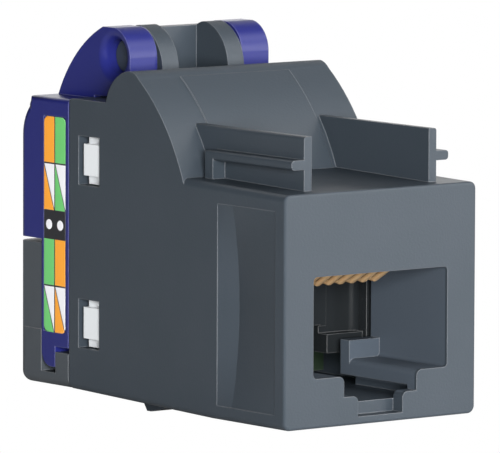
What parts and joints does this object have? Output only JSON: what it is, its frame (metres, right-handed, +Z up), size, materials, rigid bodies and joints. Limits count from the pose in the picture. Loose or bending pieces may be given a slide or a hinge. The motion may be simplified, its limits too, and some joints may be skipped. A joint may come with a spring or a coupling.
{
  "type": "keystone jack",
  "caption": "Keystone data jack: dark moulded housing with a modular plug opening, top fins and side catches, eight sprung contacts and a hinged wire-termination cap at the rear.",
  "frame": {"origin": "centre of the plug opening in the plane of the front face", "axes": "+Z up, +Y from the front face towards the cable, +X to the right seen from the front"},
  "size_m": [0.017, 0.0309, 0.0271],
  "materials": {
    "housing_plastic": "fine satin moulded, slate grey",
    "shell_plastic": "fine satin moulded, dark grey",
    "carrier_plastic": "dark moulded",
    "white_plastic": "milky moulded",
    "blue_plastic": "smooth moulded, deep violet blue",
    "board": "green solder mask",
    "gold_spring": "gold plated",
    "fork_metal": "tin plated",
    "label": "printed film with colour fields"
  },
  "bodies": {
    "housing": {"front_housing": "housing_plastic", "contact_carrier": "carrier_plastic", "circuit_board": "board", "termination_block": "white_plastic", "left_fork_1": "fork_metal", "left_fork_2": "fork_metal", "left_fork_3": "fork_metal", "left_fork_4": "fork_metal", "right_fork_1": "fork_metal", "right_fork_2": "fork_metal", "right_fork_3": "fork_metal", "right_fork_4": "fork_metal"},
    "springs": {"contact_1": "gold_spring", "contact_2": "gold_spring", "contact_3": "gold_spring", "contact_4": "gold_spring", "contact_5": "gold_spring", "contact_6": "gold_spring", "contact_7": "gold_spring", "contact_8": "gold_spring"},
    "cap": {"wire_cap": "blue_plastic", "rear_shell": "shell_plastic", "left_label": "label", "right_label": "label"}
  },
  "joints": [
    {"name": "cap_hinge", "type": "hinge", "parent": "housing", "child": "cap", "pos_m": [0, 0.02255, 0.0172], "axis": [1, 0, 0], "range_deg": [0, 95]},
    {"name": "contact_flex", "type": "hinge", "parent": "housing", "child": "springs", "pos_m": [0, 0.01512, 0.00455], "axis": [-1, 0, 0], "range_deg": [0, 3], "stiffness_Nm_per_rad": 0.02}
  ]
}
